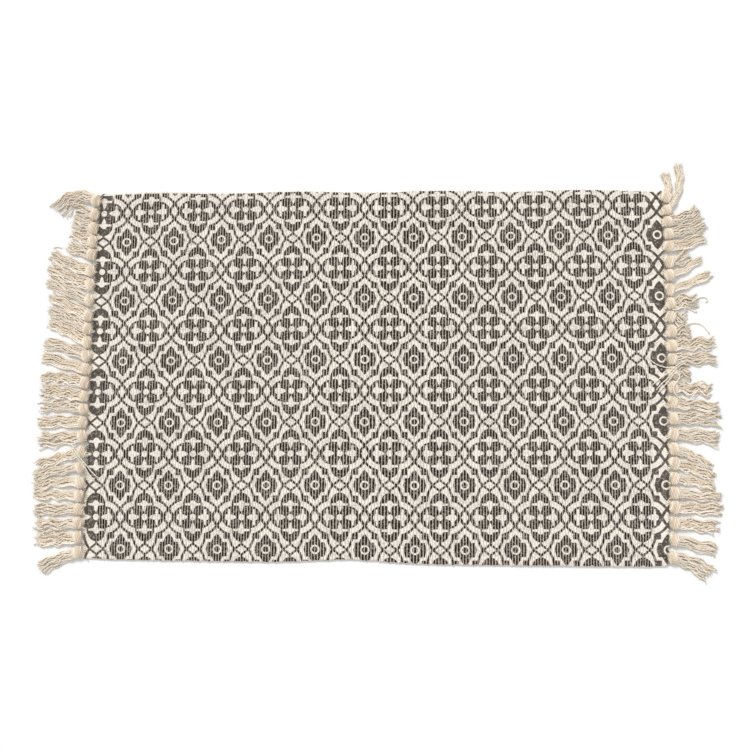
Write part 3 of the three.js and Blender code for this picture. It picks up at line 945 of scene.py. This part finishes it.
def warp_ends(bundle, centre, side, half_width, radius, rng):
    """Adds the short warp ends that gather from the cloth's edge into the knot"""
    for place in np.linspace(-1, 1, WARP_ENDS):
        bundle.number += 1
        y = centre[1] + place * half_width * 1.02
        edge = side * short_edge(side, y)
        inside = side * rng.uniform(1.0, 2.6)
        knot_y = centre[1] + place * half_width * 0.5
        path = np.array((
            (edge - inside, y + rng.normal(0, 0.3), 3.0),
            (edge - inside / 3, y, 3.5),
            (edge + side * 1.6, (2 * y + knot_y) / 3, 3.6),
            (edge + side * 4.4, (y + 2 * knot_y) / 3, KNOT_HEIGHT * 0.52),
            (centre[0], knot_y, KNOT_HEIGHT * 0.55),
        ))
        bundle.tube(path, np.full(len(path), radius * WRAP_THICKENING), dye=WARP_END_DYE)


def make_tassel(side, order, lay, half_width, settings, material):
    """Makes one tassel: its warp ends, its knot and its yarns"""
    rng = np.random.default_rng(SEED + 100 * order + (1 if side < 0 else 2))
    radius = settings.yarn_radius / MM
    name = "left" if side < 0 else "right"
    way = lay["across"] / HALF_WIDTH
    shown = max(0.0, np.dot(ROOT_SHOWN[name], (1, way, way ** 2)))
    seat = float(short_edge(side, lay["across"])) + SEAT_GAP + shown + KNOT_HALF_LENGTH
    centre = (side * seat, lay["across"])
    bundle = Bundle()
    warp_ends(bundle, centre, side, half_width, radius, rng)
    tie_knot(bundle, centre, side, half_width, radius, rng)
    tassel_yarns(bundle, centre, side, lay, settings, rng)
    piece = bundle.build(f"fringe_{name}_{order + 1:02d}", material)
    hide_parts(f"tassel_{name}_{order + 1:02d}")


def knot_half_widths(lays):
    """Half the room that each knot has between its neighbours"""
    across = np.array([lay["across"] for lay in lays], dtype=float)
    gaps = -np.diff(across)
    room = np.minimum(np.append(gaps, gaps[-1]), np.insert(gaps, 0, gaps[0]))
    return np.minimum(room * 0.5, WIDEST_KNOT / 2)


class RUG_OT_tie_fringe(Operator):
    """Tie the warp ends of both short edges into knotted tassels"""

    bl_idname = "rug.tie_fringe"
    bl_label = "Tie the fringe"

    def execute(self, context):
        settings = context.scene.rug_settings
        if "Lattice print" not in bpy.data.node_groups:
            raise RuntimeError("Weave the cloth first: the fringe carries some of its print")
        material = yarn_material(settings)
        for side, rows in ((-1, LEFT_FRINGE), (1, RIGHT_FRINGE)):
            lays = [dict(zip(FRINGE_COLUMNS, row)) for row in rows]
            for order, (lay, half_width) in enumerate(zip(lays, knot_half_widths(lays))):
                make_tassel(side, order, lay, half_width, settings, material)
        return {"FINISHED"}


def smooth_route(points, step):
    """A smooth line through a few chosen places, with one place every step"""
    points = np.asarray(points, dtype=float)
    spans = np.linalg.norm(np.diff(points, axis=0), axis=1)
    at = np.concatenate(([0], np.cumsum(spans)))
    want = np.linspace(0, at[-1], max(6, int(at[-1] / step)))
    route = np.column_stack([np.interp(want, at, points[:, axis]) for axis in range(points.shape[1])])
    for _ in range(6):
        route[1:-1] = (route[:-2] + 2 * route[1:-1] + route[2:]) / 4
    return route


class RUG_OT_scatter_strays(Operator):
    """Lay the few single yarns that have strayed from the fringe, some of them over the cloth"""

    bl_idname = "rug.scatter_strays"
    bl_label = "Scatter stray yarns"

    def execute(self, context):
        radius = context.scene.rug_settings.yarn_radius / MM
        material = bpy.data.materials.get("natural_yarn")
        if material is None:
            raise RuntimeError("Tie the fringe first: the stray yarns are of the same cotton")
        rng = np.random.default_rng(SEED + 7)
        for name, routes in STRAY_YARNS.items():
            bundle = Bundle()
            for points in routes:
                bundle.yarn(smooth_route(points, PLY_STEP), radius * STRAY_THINNING, rng)
            bundle.build(f"stray_yarns_{name}", material)
        return {"FINISHED"}


class RUG_OT_declare_sheet(Operator):
    """Check that the woven cloth and the fringe or stray yarns have been made"""

    bl_idname = "rug.declare_sheet"
    bl_label = "Declare the sheet"

    def execute(self, context):
        cloth = bpy.data.objects.get("woven_cloth")
        trimmings = [
            piece for piece in bpy.data.objects if piece.name.startswith(("fringe_", "stray_yarns_"))]
        if cloth is None or not trimmings:
            raise RuntimeError("Weave the cloth and tie the fringe first: the sheet is declared with both")
        return {"FINISHED"}


# The studio: places and sizes in metres, turns in degrees, the lens in millimetres

CAMERA_PLACE = (0.0663, -0.1936, 1.5656)
CAMERA_TURN = (6.99, 2.37, 0.64)
CAMERA_LENS = 48.0
FLOOR_SIZE = 30
SKY_STRENGTH = 0.66
SUN_PLACE = (-1.3, 1.5, 2.2)
SUN_TURN = (-40, -32, 0)
SUN_SPREAD = 18
SUN_STRENGTH = 2.1


class RUG_OT_set_studio(Operator):
    """Set the pale floor, the soft lights and the camera above the rug"""

    bl_idname = "rug.set_studio"
    bl_label = "Set the studio"

    def execute(self, context):
        bpy.ops.object.select_all(action="DESELECT")
        bpy.ops.mesh.primitive_plane_add(size=FLOOR_SIZE, location=(0, 0, 0))
        floor = context.active_object
        floor.name = "studio_floor"
        material, _, shader = plain_material("pale_floor", 0.9, 0.0)
        shader.inputs["Base Color"].default_value = (*context.scene.rug_settings.floor, 1.0)
        floor.data.materials.append(material)
        world = context.scene.world or bpy.data.worlds.new("Studio")
        context.scene.world = world
        world.use_nodes = True
        background = world.node_tree.nodes["Background"]
        background.inputs["Color"].default_value = (1.0, 1.0, 1.0, 1.0)
        background.inputs["Strength"].default_value = SKY_STRENGTH
        bpy.ops.object.light_add(type="SUN", location=SUN_PLACE)
        key = context.active_object
        key.name = "key_light"
        key.data.angle = math.radians(SUN_SPREAD)
        key.data.energy = SUN_STRENGTH
        key.rotation_euler = [math.radians(degrees) for degrees in SUN_TURN]
        turn = [math.radians(degrees) for degrees in CAMERA_TURN]
        bpy.ops.object.camera_add(location=CAMERA_PLACE, rotation=turn)
        camera = context.active_object
        camera.name = "photo_camera"
        camera.data.lens = CAMERA_LENS
        camera.data.clip_end = 50
        context.scene.camera = camera
        context.scene.view_settings.view_transform = "Standard"
        return {"FINISHED"}


class RUG_PT_panel(Panel):
    """Lists the steps that make the rug"""

    bl_label = "Cotton rug"
    bl_space_type = "VIEW_3D"
    bl_region_type = "UI"
    bl_category = "Rug"

    def draw(self, context):
        settings = context.scene.rug_settings
        for name in RugSettings.__annotations__:
            self.layout.prop(settings, name)
        for step in STEPS:
            self.layout.operator(step.bl_idname)


STEPS = (
    RUG_OT_weave_cloth,
    RUG_OT_tie_fringe,
    RUG_OT_scatter_strays,
    RUG_OT_declare_sheet,
    RUG_OT_set_studio,
)
CLASSES = (RugSettings, *STEPS, RUG_PT_panel)


def register():
    for item in CLASSES:
        bpy.utils.register_class(item)
    bpy.types.Scene.rug_settings = PointerProperty(type=RugSettings)


def unregister():
    del bpy.types.Scene.rug_settings
    for item in reversed(CLASSES):
        bpy.utils.unregister_class(item)


def main():
    register()
    for step in STEPS:
        group, name = step.bl_idname.split(".")
        getattr(getattr(bpy.ops, group), name)()


if __name__ == "__main__":
    main()
